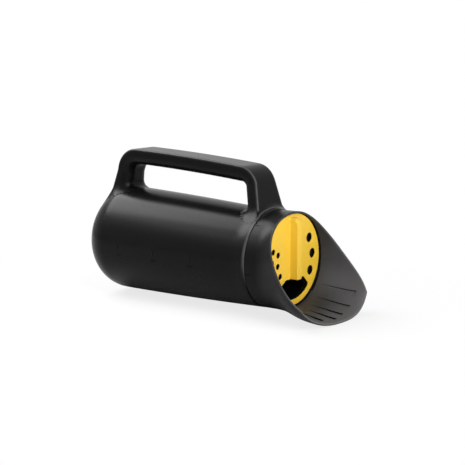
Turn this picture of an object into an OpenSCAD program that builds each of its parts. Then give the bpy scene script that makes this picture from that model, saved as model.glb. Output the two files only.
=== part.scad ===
// Dial seed sower: a hand-held shaker for grass seed and fertiliser.
// A round container with a loop handle ends in a snapped-on head. The head holds a fixed
// outlet plate with one window, and a dial in front of it that turns to put a wide gate,
// large holes, small holes or its blank side over that window. The seed runs down the
// flared scoop. X runs forward along the dial's axis from the flat base, Z is up.

/* [Container] */
// Length from the flat base to the seam with the head
container_l = 204.5; // [180:0.5:230]
// Outer diameter of the container near its base
base_d = 104.8; // [98:0.2:110]
// Outer diameter of the container at the seam
seam_d = 92.6; // [92:0.2:94]
// Extra radius of the container's belly, half way along
belly = 1.1; // [0:0.1:2]
// Rounding of the rear edge
rear_round = 32; // [15:0.5:36]
// Angle by which the container's axis falls towards the head, so that its underside lies level
container_pitch = 1.5; // [0:0.1:3]
// Distance of the container's centre below the dial's axis at the seam
seam_drop = 2.1; // [1.2:0.1:2.3]
// Wall of the container
container_wall = 2.2; // [1.5:0.1:3]

/* [Handle] */
// Width of the grip across
handle_w = 31.5; // [26:0.5:36]
// Thickness of the handle loop
handle_t = 15.8; // [12:0.2:18]
// Height of the handle's middle line above the dial's axis, at its rear corner
handle_rear_z = 88; // [82:0.5:96]
// Fall of the grip from its rear corner to its front corner
grip_fall = 9.7; // [0:0.1:14]
// Crown of the grip, half way along
grip_crown = 1; // [0:0.1:4]
// Distance of the rear corner of the middle line from the base
handle_rear_x = 31.5; // [26:0.5:40]
// Length of the grip between the corners of its middle line
grip_l = 154.5; // [130:0.5:160]
// Splay of each leg, out towards the ends of the container
leg_splay = 13; // [8:0.5:18]
// Angle by which each side of a leg widens towards its root
leg_taper = 10; // [0:0.5:14]
// Bend radius of the middle line at the rear corner
rear_bend_r = 16; // [12:0.5:22]
// Bend radius of the middle line at the front corner
front_bend_r = 14; // [12:0.5:20]
// Rounding of the handle's outer edges
outer_edge_r = 1.8; // [1:0.2:4]
// Rounding of the handle's inner edges, under the fingers
inner_edge_r = 6; // [3:0.5:7]
// Fillet where the sides and inner face of a leg run into the container
root_fillet = 8; // [3:0.5:9]
// Fillet where the outer face of a leg runs into the container
end_fillet = 4; // [2:0.5:6]

/* [Head] */
// Outer diameter of the collar
collar_d = 94; // [94:0.2:97]
// Distance of the collar's centre below the dial's axis
collar_drop = 1.3; // [0.8:0.1:1.3]
// Length of the collar from the seam to the dial's front face
collar_l = 22.5; // [20:0.5:28]
// Wall of the head
head_wall = 2.2; // [2:0.1:2.6]
// Length of the scoop from the dial's front face to its tip
scoop_l = 56; // [50:0.5:66]
// Half width of the scoop at its widest
scoop_half_w = 65; // [60:0.5:70]
// Depth of the scoop's floor below the dial's axis
scoop_depth = 53.6; // [50:0.5:60]
// Distance in front of the dial over which the scoop flares out
flare_l = 44; // [34:1:50]
// Where the flare starts, in front of the dial, or behind it where negative
flare_start = -12; // [-14:0.5:0]
// Where the scoop's floor starts to fall, in front of the dial
floor_fall_start = 12; // [0:1:20]
// Where it would reach its full depth, in front of the dial
floor_fall_end = 58; // [40:1:64]
// Squareness of the scoop's section at its tip, where 2 is an ellipse
tip_square = 2.7; // [2:0.1:3.2]
// Radius of the tip's front edge, seen from above
tip_r = 200; // [90:5:300]
// How far forward the middle of the lip's side outline is drawn
lip_pull_x = 1.2; // [1:0.2:8]
// Height to which the middle of the lip's side outline is drawn
lip_pull_z = 13.5; // [6:0.5:18]
// Distance of the lip's upper end in front of the dial
lip_start = 1.5; // [1:0.1:3]
// How far the lip's side outline runs past the tip
lip_over = 8.4; // [4:0.2:12]
// Height of that outline's low end above the scoop's floor
lip_end_height = 2; // [1:0.1:4]

/* [Scoop grooves] */
// Number of tapered grooves in the scoop's floor
groove_count = 7; // [5:2:7]
// Angle between neighbouring grooves
groove_step = 18; // [12:0.5:20]
// Width of a groove at its front end
groove_w = 4; // [3:0.2:6]
// Depth of a groove
groove_depth = 1.3; // [0.8:0.1:1.6]
// Length of a groove
groove_l = 34; // [24:1:38]
// Distance from the tip to the middle groove's front end
groove_tip_gap = 7.5; // [5:0.5:12]
// Extra distance from the tip for each groove further out
groove_stagger = 3.5; // [0:0.5:5]

/* [Dial] */
// Diameter of the dial
dial_d = 88; // [84:0.5:89]
// Thickness of the dial's disc
dial_t = 2.8; // [2:0.1:4]
// Height of the grip bar above the disc
bar_h = 8; // [6:0.5:11]
// Width of the grip bar at its front
bar_w = 7.6; // [5:0.2:10]
// Widening of the grip bar towards the disc
bar_draft = 1.2; // [0.5:0.1:2]
// Top end of the grip bar above the axis
bar_top = 40.5; // [34:0.5:41]
// Distance of the grip bar's low end from the gate
bar_gate_gap = 0.5; // [0.5:0.1:2]
// Fillet at the foot of the grip bar
bar_foot = 1.4; // [0.8:0.1:2]
// Rounding of the grip bar's front edges
bar_edge = 0.9; // [0.5:0.1:1.2]
// Height of the square part of the grip bar's upper end, below the rounding
bar_end_square = 1; // [0.5:0.1:2]
// Inner radius of the gate
gate_r_in = 21; // [18:0.5:25]
// Width of the rim that is left outside the gate
gate_rim = 5.2; // [3.5:0.1:8]
// Half of the angle that the gate spans
gate_half_angle = 42; // [30:1:44]
// Rounding of the gate's corners
gate_corner_r = 2.5; // [1:0.1:4]
// Diameter of the large holes
large_hole_d = 9.4; // [7:0.1:11]
// Number of large holes
large_hole_count = 3; // [2:1:3]
// Angle between the large holes
large_hole_step = 30.5; // [24:0.5:32]
// Angle of the middle large hole, from level towards the top
large_hole_middle = 3.5; // [-4:0.5:10]
// Distance of the large holes from the axis
large_hole_r = 31.5; // [28:0.5:34]
// Diameter of the small holes
small_hole_d = 5.8; // [3:0.1:6.6]
// Number of small holes in the inner row, with one more in the outer row
small_hole_count = 3; // [2:1:3]
// Angle of the middle of both rows, from the large holes' side over the top
small_hole_middle = 189; // [185:0.5:190]
// Angle between the small holes of the inner row
small_hole_step_in = 26; // [22:0.5:28]
// Angle between the small holes of the outer row
small_hole_step_out = 18.7; // [16:0.1:19]
// Distance of the inner small holes from the axis
small_hole_r_in = 23.5; // [20:0.5:24]
// Distance of the outer small holes from the axis
small_hole_r_out = 32.6; // [32:0.2:36]

/* [Outlet plate] */
// Thickness of the outlet plate
plate_t = 2.4; // [2:0.1:3.5]
// Thickness of the plate's flange, which is held behind a ledge in the head
flange_t = 1.2; // [0.8:0.1:1.6]
// Width of that ledge
ledge_w = 1.3; // [0.8:0.1:2]
// Widening of the plate's window over the gate, all round
window_margin = 0.5; // [0:0.1:1.5]
// Diameter of the dial's hub
hub_d = 13; // [10:0.5:16]
// Length of the plate's boss behind its back face
boss_l = 6; // [4:0.5:9]
// Wall of that boss
boss_wall = 2.6; // [2:0.1:4]
// Number of stiffening ribs on the plate's back
plate_ribs = 5; // [3:1:6]
// Thickness of those ribs
plate_rib_t = 1.8; // [1.2:0.1:2.4]
// Height of those ribs
plate_rib_h = 3; // [2:0.1:4]
// Angle over which those ribs are spread, centred on the top
plate_rib_span = 240; // [200:5:250]

/* [Fixings] */
// Diameter of the dial screw's thread
screw_d = 4; // [3:0.5:5]
// Length of the dial screw below its head
screw_l = 9; // [7:0.5:10]
// Diameter of the dial screw's head
screw_head_d = 8; // [7:0.5:10]
// Height of the dial screw's head
screw_head_h = 2.4; // [1.8:0.1:3]
// Width of the cross recess in the screw's head
screw_slot = 1; // [0.6:0.1:1.4]
// Diameter of the spring washer
washer_d = 16; // [15:0.5:19]
// Thickness of the spring washer
washer_t = 0.8; // [0.5:0.1:1.2]
// Thickness of the neck seal
seal_t = 1.6; // [1:0.1:2.5]
// Wall of the container's neck
neck_wall = 2.4; // [1.8:0.1:3]
// Height of the snap bead on the neck
bead_h = 0.7; // [0.4:0.1:0.9]
// Width of the snap bead
bead_w = 3; // [2:0.2:4]
// Distance of the snap bead from the seam
bead_setback = 3; // [2:0.1:4]

/* [Clearances] */
// Running clearance of the hub in its bore, on the radius
hub_clearance = 0.06; // [0.03:0.01:0.1]
// Gap between the dial and the outlet plate
dial_gap = 0.4; // [0.3:0.1:0.6]
// Gap round the rim of the dial
rim_gap = 0.6; // [0.4:0.1:1]
// Gap of the neck and the outlet plate in the collar, on the radius
neck_gap = 0.3; // [0.2:0.05:0.4]
// Gap between the spring washer and the boss
washer_gap = 0.1; // [0.05:0.01:0.2]
// Free depth of the screw's hole past the screw
screw_hole_spare = 0.5; // [0.3:0.1:1]

/* [Hidden] */

// Smoothness of the round faces, and how far a cut runs past what it cuts
round_fn = 96;
small_fn = 48;
cut_margin = 1;

// Places along the axis
seam_x = container_l;
dial_x = seam_x + collar_l;
dial_back_x = dial_x - dial_t;
plate_x = dial_back_x - dial_gap;
plate_back_x = plate_x - plate_t;
neck_end_x = plate_back_x - seal_t;
boss_end_x = plate_back_x - boss_l;
hub_end_x = boss_end_x - washer_gap;
bead_x = seam_x + bead_setback + bead_w / 2;

// Radii that fit each other
dial_r = dial_d / 2;
collar_r = collar_d / 2;
dial_pocket_r = dial_r + rim_gap;
collar_bore_r = collar_r - collar_drop - head_wall;
plate_r = collar_bore_r - neck_gap;
ledge_r = collar_bore_r - ledge_w;
neck_r = collar_bore_r - neck_gap;
neck_bore_r = neck_r - neck_wall;
gate_r_out = dial_r - gate_rim;
hub_r = hub_d / 2;
hub_bore_r = hub_r + hub_clearance;
boss_r = hub_bore_r + boss_wall;

// The colours of the plastics and metals
black_plastic = [0.09, 0.09, 0.10];
yellow_plastic = [0.98, 0.70, 0.10];
seal_rubber = [0.25, 0.25, 0.27];
bright_steel = [0.75, 0.76, 0.78];

function mix(a, b, t) = a + (b - a) * t;
function unit(v) = v / norm(v);
function clamp(v, low, high) = min(high, max(low, v));

// Turns a profile of [radius, x] pairs about the X axis.
module spin_x(profile) {
    rotate([90, 0, 90])
        rotate_extrude($fn = round_fn)
            polygon(profile);
}

// A straight cylinder along X, from x0 to x1.
module rod_x(r, x0, x1, fn = round_fn) {
    translate([x0, 0, 0])
        rotate([0, 90, 0])
            cylinder(r = r, h = x1 - x0, $fn = fn);
}

// A flat shape in the plane across the axis, drawn out from x0 to x1.
module extrude_x(x0, x1) {
    translate([x0, 0, 0])
        rotate([90, 0, 90])
            linear_extrude(x1 - x0)
                children();
}

// A flat shape in the upright plane of the axis, drawn out to both sides.
module extrude_across(half_width) {
    translate([0, half_width, 0])
        rotate([90, 0, 0])
            linear_extrude(2 * half_width)
                children();
}

// Closed rings of points, each with as many points, skinned into one solid with flat ends.
module skin(rings) {
    n = len(rings[0]);
    last = len(rings) - 1;
    points = [for (ring = rings) each ring];
    sides = [for (i = [0 : last - 1], j = [0 : n - 1])
        let (a = i * n + j, b = i * n + (j + 1) % n)
        each [[a, b + n, b], [a, a + n, b + n]]];
    start_cap = [for (j = [0 : n - 1]) j];
    end_cap = [for (j = [n - 1 : -1 : 0]) last * n + j];
    polyhedron(points, concat(sides, [start_cap, end_cap]));
}

// ---- Container ----

barrel_steps = 12;
round_steps = 10;

// Radius of the container's wall at a distance in front of the base, on its own axis.
function wall_r(x) =
    let (t = x / container_l)
    mix(base_d / 2, seam_d / 2, t) + belly * 4 * t * (1 - t);
base_cut = 1.5;
round_x = rear_round - base_cut;
rear_face_r = wall_r(rear_round) - rear_round;
function barrel_r(x) =
    x < round_x
        ? rear_face_r + sqrt(max(0, rear_round * rear_round - pow(round_x - x, 2)))
        : wall_r(x);

// Outline of the container from its axis to the seam, set in by the given wall. It starts
// behind the base plane, which then trims it to a flat face.
function barrel_profile(inset) =
    let (
        r = rear_round - inset,
        arc = [for (i = [0 : round_steps])
            let (a = 90 * i / round_steps)
            [rear_face_r + r * sin(a), round_x - r * cos(a)]],
        wall = [for (i = [1 : barrel_steps])
            let (x = mix(round_x, container_l + cut_margin, i / barrel_steps))
            [wall_r(x) - inset, x]])
    concat([[0, inset - base_cut]], arc, wall, [[0, container_l + cut_margin]]);

// The container's own axis, which falls towards the seam.
function axis_z(x) = (seam_x - x) * tan(container_pitch) - seam_drop;
module on_container_axis() {
    translate([seam_x, 0, -seam_drop])
        rotate([0, container_pitch, 0])
            translate([-container_l, 0, 0])
                children();
}

// Everything between the planes at x0 and x1.
module slab(x0, x1) {
    size = 2 * (base_d + handle_rear_z);
    translate([x0, -size / 2, -size / 2])
        cube([x1 - x0, size, size]);
}

// Middle line of the handle, as points [x, z] from the rear root to the front root.
root_depth = 20;
rear_corner = [handle_rear_x, handle_rear_z];
front_corner = [handle_rear_x + grip_l, handle_rear_z - grip_fall];
rear_root_z = base_d / 2 - root_depth;
front_root_z = seam_d / 2 - root_depth;
rear_root = [rear_corner[0] - (rear_corner[1] - rear_root_z) * tan(leg_splay), rear_root_z];
front_root = [front_corner[0] + (front_corner[1] - front_root_z) * tan(leg_splay), front_root_z];

bend_steps = 8;
leg_steps = 12;
grip_steps = 8;

// Points of a round bend of radius r at corner c, between the lines from a and to b.
function bend(a, c, b, r) =
    let (
        u = unit(a - c),
        v = unit(b - c),
        half = acos(u * v) / 2,
        centre = c + unit(u + v) * r / sin(half),
        n0 = unit(c + u * r / tan(half) - centre),
        n1 = unit(c + v * r / tan(half) - centre),
        sweep = acos(n0 * n1))
    [for (i = [0 : bend_steps])
        let (t = i / bend_steps)
        centre + r * (n0 * sin((1 - t) * sweep) + n1 * sin(t * sweep)) / sin(sweep)];

rear_bend = bend(rear_root, rear_corner, front_corner, rear_bend_r);
front_bend = bend(rear_corner, front_corner, front_root, front_bend_r);
grip_from = rear_bend[bend_steps];
grip_to = front_bend[0];

handle_path = concat(
    [for (i = [0 : leg_steps - 1]) mix(rear_root, rear_bend[0], i / leg_steps)],
    rear_bend,
    [for (i = [1 : grip_steps - 1])
        let (t = i / grip_steps)
        mix(grip_from, grip_to, t) + [0, grip_crown * 4 * t * (1 - t)]],
    front_bend,
    [for (i = [1 : leg_steps]) mix(front_bend[bend_steps], front_root, i / leg_steps)]);

// Section of the handle as [across, outward], with small outer and round inner edges.
edge_steps = 3;
flat_steps = 4;
function edge_arc(cx, cy, r, from) =
    [for (i = [0 : edge_steps])
        let (a = from + 90 * i / edge_steps)
        [cx + r * cos(a), cy + r * sin(a)]];
function flat_points(from, to, out) =
    [for (i = [1 : flat_steps - 1]) [mix(from, to, i / flat_steps), out]];
function handle_section(half_w) =
    let (
        ro = outer_edge_r,
        ri = inner_edge_r,
        yo = half_w - ro,
        yi = half_w - ri,
        out = handle_t / 2)
    concat(
        edge_arc(yo, out - ro, ro, 0),
        flat_points(yo, -yo, out),
        edge_arc(-yo, out - ro, ro, 90),
        edge_arc(-yi, ri - out, ri, 180),
        flat_points(-yi, yi, -out),
        edge_arc(yi, ri - out, ri, 270));

// A leg widens below the grip. Its fillets are quarter rounds that stand on the wall.
function leg_half_w(z) = handle_w / 2 + max(0, front_corner[1] - handle_t / 2 - z) * tan(leg_taper);
function wall_z(x, y) =
    let (r = barrel_r(clamp(x, cut_margin, container_l)))
    axis_z(x) + sqrt(max(0, r * r - y * y));
function fillet(above, r) =
    let (down = r - clamp(abs(above), 0, r))
    r - sqrt(r * r - down * down);

// A point q of the section at the path's point p, moved out by the fillets.
function with_fillet(p, out, half_w, q) =
    let (
        at = p + out * q[1],
        face_r = q[1] > 0 ? end_fillet : root_fillet,
        foot_x = at[0] + sign(out[0] * q[1]) * face_r,
        wide = 1 + fillet(at[1] - wall_z(at[0], half_w + root_fillet), root_fillet) / half_w,
        thick = q[1] + sign(q[1]) * fillet(at[1] - wall_z(foot_x, q[0]), face_r),
        moved = p + out * thick)
    [moved[0], q[0] * wide, moved[1]];

function path_direction(i) =
    let (last = len(handle_path) - 1)
    unit(handle_path[min(i + 1, last)] - handle_path[max(i - 1, 0)]);

handle_rings = [for (i = [0 : len(handle_path) - 1])
    let (
        p = handle_path[i],
        d = path_direction(i),
        out = [-d[1], d[0]],
        half_w = leg_half_w(p[1]))
    [for (q = handle_section(half_w)) with_fillet(p, out, half_w, q)]];

// The snap bead on the neck, and the groove for it in the collar.
function bead_profile(r, gap) = [
    [r - cut_margin, bead_x - bead_w / 2 - gap],
    [r, bead_x - bead_w / 2 - gap],
    [r + bead_h, bead_x - bead_w / 6 - gap],
    [r + bead_h, bead_x + bead_w / 6 + gap],
    [r, bead_x + bead_w / 2 + gap],
    [r - cut_margin, bead_x + bead_w / 2 + gap]];

module neck() {
    foot_x = seam_x - container_wall;
    difference() {
        union() {
            rod_x(neck_r, foot_x, neck_end_x);
            spin_x(bead_profile(neck_r, 0));
        }
        rod_x(neck_bore_r, foot_x - cut_margin, neck_end_x + cut_margin);
    }
}

module container() {
    color(black_plastic) {
        difference() {
            intersection() {
                union() {
                    on_container_axis()
                        spin_x(barrel_profile(0));
                    skin(handle_rings);
                }
                slab(0, seam_x);
            }
            intersection() {
                on_container_axis()
                    spin_x(barrel_profile(container_wall));
                slab(container_wall, seam_x - container_wall);
            }
            rod_x(neck_bore_r, seam_x - 2 * container_wall, seam_x + cut_margin);
        }
        neck();
    }
}

module neck_seal() {
    color(seal_rubber)
        difference() {
            rod_x(neck_r, neck_end_x, plate_back_x);
            rod_x(neck_bore_r, neck_end_x - cut_margin, plate_back_x + cut_margin);
        }
}

// ---- Head ----

scoop_steps = 14;
scoop_sides = 56;

// Share of a smooth change that is reached at x, between its start and its end.
function ramp(x, start, end) =
    let (t = clamp((x - start) / (end - start), 0, 1))
    t * t * (3 - 2 * t);

// Section of the flared scoop at a distance in front of the dial, set in by a wall.
function scoop_ring(x, inset) =
    let (
        s = ramp(x, flare_start, flare_l),
        floor_s = ramp(x, floor_fall_start, floor_fall_end),
        a = mix(collar_r, scoop_half_w, s) - inset,
        top = collar_r - inset,
        low = mix(collar_r, scoop_depth - collar_drop, floor_s) - inset,
        k = 2 / mix(2, tip_square, s))
    [for (i = [0 : scoop_sides - 1])
        let (
            c = cos(360 * i / scoop_sides),
            s = sin(360 * i / scoop_sides),
            b = s > 0 ? top : low)
        [dial_x + x, a * sign(c) * pow(abs(c), k), b * sign(s) * pow(abs(s), k) - collar_drop]];

// The flare's rings from x0 to the tip; outside, one more ring reaches back to the seam.
function scoop_rings(inset, x0) =
    [for (i = [0 : scoop_steps])
        scoop_ring(mix(x0, scoop_l + cut_margin, i / scoop_steps), inset)];
module head_outside() {
    skin(concat([scoop_ring(-collar_l, 0)], scoop_rings(0, flare_start)));
}
module scoop_inside(inset, x0) {
    skin(scoop_rings(inset, x0));
}

// Outline of the lip seen from the side, as [x, z] in front of and above the dial's centre.
lip_steps = 10;
lip_top = [lip_start, collar_r - collar_drop + cut_margin];
lip_pull = [lip_pull_x, lip_pull_z];
lip_low = [scoop_l + lip_over, lip_end_height - scoop_depth];
function curve3(a, b, c, t) = mix(mix(a, b, t), mix(b, c, t), t);

module lip_cut() {
    far_x = scoop_l + scoop_half_w;
    floor_z = -scoop_depth - collar_l;
    translate([dial_x, 0, 0])
        extrude_across(scoop_half_w + cut_margin)
            polygon(concat(
                [for (i = [0 : lip_steps]) curve3(lip_top, lip_pull, lip_low, i / lip_steps)],
                [[lip_low[0], floor_z], [far_x, floor_z], [far_x, lip_top[1]]]));
}

// The tip's front edge, seen from above.
module tip_plan() {
    translate([dial_x + scoop_l - tip_r, 0, -scoop_half_w - cut_margin])
        cylinder(r = tip_r, h = 2 * scoop_half_w + 2 * cut_margin, $fn = 2 * round_fn);
}

// One groove, a wedge that widens towards the tip, seen along its radius from the axis.
module groove_wedge(k) {
    front = scoop_l - groove_tip_gap - groove_stagger * abs(k);
    rotate([180 + groove_step * k, 0, 0])
        translate([dial_x, 0, 0])
            linear_extrude(scoop_half_w + scoop_depth)
                polygon([[front - groove_l, 0], [front, -groove_w / 2], [front, groove_w / 2]]);
}

module scoop_head() {
    outer_k = (groove_count - 1) / 2;
    color(black_plastic)
        difference() {
            intersection() {
                head_outside();
                tip_plan();
            }
            lip_cut();
            scoop_inside(head_wall, 0);
            intersection() {
                scoop_inside(head_wall - groove_depth, cut_margin);
                union()
                    for (k = [-outer_k : outer_k])
                        groove_wedge(k);
            }
            rod_x(dial_pocket_r, plate_x, dial_x + 2 * cut_margin);
            rod_x(ledge_r, seam_x - cut_margin, plate_x + cut_margin);
            rod_x(collar_bore_r, seam_x - cut_margin, plate_back_x + flange_t);
            spin_x(bead_profile(collar_bore_r, neck_gap));
        }
}

// ---- Outlet plate and dial ----

gate_arc_steps = 24;
corner_steps = 5;

// Points of an arc about c, from angle a0 to a1, measured from straight down.
function down_arc(c, r, a0, a1, n) =
    [for (i = [0 : n])
        let (a = mix(a0, a1, i / n))
        [c[0] + r * sin(a), c[1] - r * cos(a)]];
function polar_down(r, a) = [r * sin(a), -r * cos(a)];

// Half of the gate's outline: a ring sector with rounded corners, centred on straight down.
function gate_half_outline(grow) =
    let (
        r0 = gate_r_in - grow,
        r1 = gate_r_out + grow,
        c = gate_corner_r,
        half = gate_half_angle,
        out_a = half - asin(c / (r1 - c)),
        in_a = half - asin(c / (r0 + c)))
    concat(
        down_arc([0, 0], r1, 0, out_a, gate_arc_steps / 2),
        down_arc(polar_down(r1 - c, out_a), c, out_a, half + 90, corner_steps),
        down_arc(polar_down(r0 + c, in_a), c, half + 90, in_a + 180, corner_steps),
        down_arc([0, 0], r0, in_a, 0, gate_arc_steps / 2));

module gate_cut(x0, x1, grow) {
    extrude_x(x0, x1)
        for (side = [0, 1])
            mirror([side, 0])
                polygon(gate_half_outline(grow));
}

module outlet_plate() {
    rib_start = 90 - plate_rib_span / 2;
    rib_step = plate_rib_span / (plate_ribs - 1);
    color(black_plastic)
        difference() {
            union() {
                rod_x(plate_r, plate_back_x, plate_back_x + flange_t);
                rod_x(ledge_r - neck_gap, plate_back_x, plate_x);
                rod_x(boss_r, boss_end_x, plate_x);
                for (i = [0 : plate_ribs - 1])
                    rotate([rib_start + rib_step * i, 0, 0])
                        translate([plate_back_x - plate_rib_h, boss_r - cut_margin, -plate_rib_t / 2])
                            cube([plate_rib_h + cut_margin, neck_bore_r - boss_r, plate_rib_t]);
            }
            rod_x(hub_bore_r, boss_end_x - cut_margin, plate_x + cut_margin);
            gate_cut(boss_end_x, plate_x + cut_margin, window_margin);
        }
}

// Hole centres as [angle from the far side, distance from the axis], each group round its middle.
function hole_row(middle, step, count, r) =
    [for (i = [0 : count - 1]) [middle + (i - (count - 1) / 2) * step, r]];
large_holes = hole_row(large_hole_middle, large_hole_step, large_hole_count, large_hole_r);
small_holes = concat(
    hole_row(small_hole_middle, small_hole_step_in, small_hole_count, small_hole_r_in),
    hole_row(small_hole_middle, small_hole_step_out, small_hole_count + 1, small_hole_r_out));

module hole_cuts(holes, d) {
    for (hole = holes)
        rotate([hole[0], 0, 0])
            translate([0, hole[1], 0])
                rod_x(d / 2, dial_back_x - cut_margin, dial_x + cut_margin, small_fn);
}

// The grip bar: a ridge along Z that narrows to its front, with a fillet at the disc and
// rounded ends.
module grip_bar() {
    bottom = bar_gate_gap - gate_r_in;
    end_r = bar_h - bar_end_square;
    half = bar_w / 2;
    base = half + bar_draft;
    side = [
        [base + bar_foot, -cut_margin],
        [base + bar_foot, 0],
        [base + bar_foot / 3, bar_foot / 3],
        [base, bar_foot],
        [half + bar_edge / 4, bar_h - bar_edge],
        [half - bar_edge / 4, bar_h - bar_edge / 4],
        [half - bar_edge, bar_h]];
    section = concat(side, [for (i = [len(side) - 1 : -1 : 0]) [-side[i][0], side[i][1]]]);
    intersection() {
        translate([dial_x, 0, bottom])
            linear_extrude(bar_top - bottom)
                polygon([for (p = section) [p[1], p[0]]]);
        extrude_across(base + 2 * bar_foot)
            translate([dial_x, 0])
                polygon(concat(
                    [[-cut_margin, bar_top], [-cut_margin, bottom],
                        [bar_h - bar_edge, bottom], [bar_h, bottom + bar_edge]],
                    [for (i = [0 : corner_steps])
                        let (a = 90 * i / corner_steps)
                        [bar_h - end_r + end_r * cos(a), bar_top - end_r + end_r * sin(a)]]));
    }
}

module dial() {
    color(yellow_plastic)
        difference() {
            union() {
                rod_x(dial_r, dial_back_x, dial_x);
                rod_x(hub_r, hub_end_x, dial_x);
                grip_bar();
            }
            gate_cut(dial_back_x - cut_margin, dial_x + bar_h, 0);
            hole_cuts(large_holes, large_hole_d);
            hole_cuts(small_holes, small_hole_d);
            rod_x(screw_d / 2, hub_end_x - cut_margin, hub_end_x + screw_l + screw_hole_spare, small_fn);
        }
}

module dial_screw() {
    seat_x = hub_end_x - washer_t;
    head_x = seat_x - screw_head_h;
    head_r = screw_head_d / 2;
    crown = screw_head_h / 2;
    color(bright_steel)
        difference() {
            union() {
                rod_x(screw_d / 2, seat_x - crown / 2, seat_x + screw_l, small_fn);
                spin_x([
                    [0, head_x],
                    [head_r - crown, head_x],
                    [head_r, head_x + crown],
                    [head_r, seat_x],
                    [0, seat_x]]);
            }
            for (a = [0, 90])
                rotate([a, 0, 0])
                    translate([head_x - cut_margin, -screw_slot / 2, -head_r / 2])
                        cube([cut_margin + crown, screw_slot, head_r]);
        }
}

module spring_washer() {
    back_x = hub_end_x - washer_t;
    color(bright_steel)
        difference() {
            rod_x(washer_d / 2, back_x, hub_end_x);
            rod_x(screw_d / 2 + washer_gap, back_x - cut_margin, hub_end_x + cut_margin, small_fn);
        }
}

container();
neck_seal();
scoop_head();
outlet_plate();
dial();
dial_screw();
spring_washer();
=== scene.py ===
# %% [markdown]
# # A dial seed sower
#
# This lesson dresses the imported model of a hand-held sower for grass seed and fertiliser.
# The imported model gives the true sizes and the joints. Here the shells get smooth surfaces,
# rounded edges, fine marks and plastic finishes, and a soft studio light shows them.
#
# The sower's sizes are written in millimetres, as on a drawing, and turned into metres when
# a mesh is made. Floor, lamps and shaders are in metres. X runs forward along the dial's
# axis, Z points up.

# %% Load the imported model
import math
import bpy
import bmesh
import numpy as np
from mathutils import Matrix, Vector


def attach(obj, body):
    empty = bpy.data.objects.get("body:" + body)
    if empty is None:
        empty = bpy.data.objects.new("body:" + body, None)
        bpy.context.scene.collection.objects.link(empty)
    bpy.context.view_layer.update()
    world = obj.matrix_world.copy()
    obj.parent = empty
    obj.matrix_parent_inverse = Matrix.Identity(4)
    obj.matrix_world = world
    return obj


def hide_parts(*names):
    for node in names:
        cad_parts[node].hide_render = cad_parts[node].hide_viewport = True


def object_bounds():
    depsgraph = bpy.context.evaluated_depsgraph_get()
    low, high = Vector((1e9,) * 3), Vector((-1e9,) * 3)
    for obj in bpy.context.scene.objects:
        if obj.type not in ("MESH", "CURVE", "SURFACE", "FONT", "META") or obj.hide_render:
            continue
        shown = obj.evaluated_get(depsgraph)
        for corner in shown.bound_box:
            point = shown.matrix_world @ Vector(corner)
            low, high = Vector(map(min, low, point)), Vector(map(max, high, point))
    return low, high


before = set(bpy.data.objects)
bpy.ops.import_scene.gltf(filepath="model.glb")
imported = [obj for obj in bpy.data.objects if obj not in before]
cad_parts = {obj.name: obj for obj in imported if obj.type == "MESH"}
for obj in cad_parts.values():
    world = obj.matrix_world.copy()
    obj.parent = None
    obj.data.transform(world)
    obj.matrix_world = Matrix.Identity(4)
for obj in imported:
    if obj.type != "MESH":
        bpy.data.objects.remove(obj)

MM = 0.001
cad_box = [list(corner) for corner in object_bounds()]
print("nodes:", sorted(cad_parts))
print("CAD box:", cad_box)

# %% [markdown]
# ## Main sizes
#
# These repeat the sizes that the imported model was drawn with, because a smooth surface has
# to lie where the drawn one does. The dial's front face is the plane that the rest of the
# head is measured from. Only the dial's disc is thinner here, so that little of its edge
# shows in the gate and the holes.

# %% Main sizes
CONTAINER_L = 204.5
BASE_D = 104.8
SEAM_D = 92.6
BELLY = 1.1
REAR_ROUND = 32.0
BASE_CUT = 1.5
CONTAINER_WALL = 2.2
PITCH = math.radians(1.5)
SEAM_DROP = 2.1

COLLAR_L = 22.5
COLLAR_R = 47.0
COLLAR_DROP = 1.3
HEAD_WALL = 2.2
DIAL_X = CONTAINER_L + COLLAR_L
DIAL_R = 44.0
DIAL_T = 1.2
DIAL_DEEP = 2.8
HUB_R, HUB_END = 6.5, 11.7
POCKET_R = 44.6
NECK_R, NECK_WALL = 43.2, 2.4
print("dial face at x =", DIAL_X, "mm")

# %% [markdown]
# ## Camera
#
# The photograph looks down a little on the sower from ahead and from its right, through a
# long lens. The camera stands where the model's outline matched the photograph's. Three unit
# vectors turn it: its right, its up and its back.

# %% Camera
def add_object(name, data):
    """A new object at the origin, linked to the scene."""
    item = bpy.data.objects.new(name, data)
    bpy.context.scene.collection.objects.link(item)
    return item


CAMERA_LENS = 103.38
CAMERA_BACK = (0.60057, -0.78414, 0.15629)
CAMERA_PLACE = (DIAL_X + 707.5, -1017.1, 221.6)
camera_data = bpy.data.cameras.new("camera")
camera = add_object("camera", camera_data)
camera_data.sensor_width = 36.0
camera_data.lens = CAMERA_LENS
camera_data.clip_start = 0.05
camera_data.clip_end = 50.0

back = Vector(CAMERA_BACK).normalized()
right = Vector((0, 0, 1)).cross(back).normalized()
up = back.cross(right)
turn = Matrix((right, up, back)).transposed().to_4x4()
camera.matrix_world = Matrix.Translation(Vector(CAMERA_PLACE) * MM) @ turn
bpy.context.scene.camera = camera
print("camera at", [round(v, 4) for v in camera.location])

# %% [markdown]
# ## Meshes from rows of points
#
# Most shells here are sheets of points: rows that close round the piece, one after another
# along it. One helper turns such a grid into faces, and another makes a piece of them and
# keeps edges sharp only where two faces meet at a clear angle. The last two turn modifiers
# into a plain mesh, and join two pieces or cut one with another.

# %% Mesh helpers
def arc(count, start=0, sweep=90):
    """Evenly spaced angles; start and sweep are in degrees."""
    return np.radians(np.linspace(start, start + sweep, count))


def grid_faces(rows, columns, closed_rows=False):
    """Quads over rows of points, where each row closes on itself."""
    faces = []
    for i in range(rows if closed_rows else rows - 1):
        here, ahead = i * columns, (i + 1) % rows * columns
        for j in range(columns):
            after = (j + 1) % columns
            faces.append((here + j, here + after, ahead + after, ahead + j))
    return faces


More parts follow.
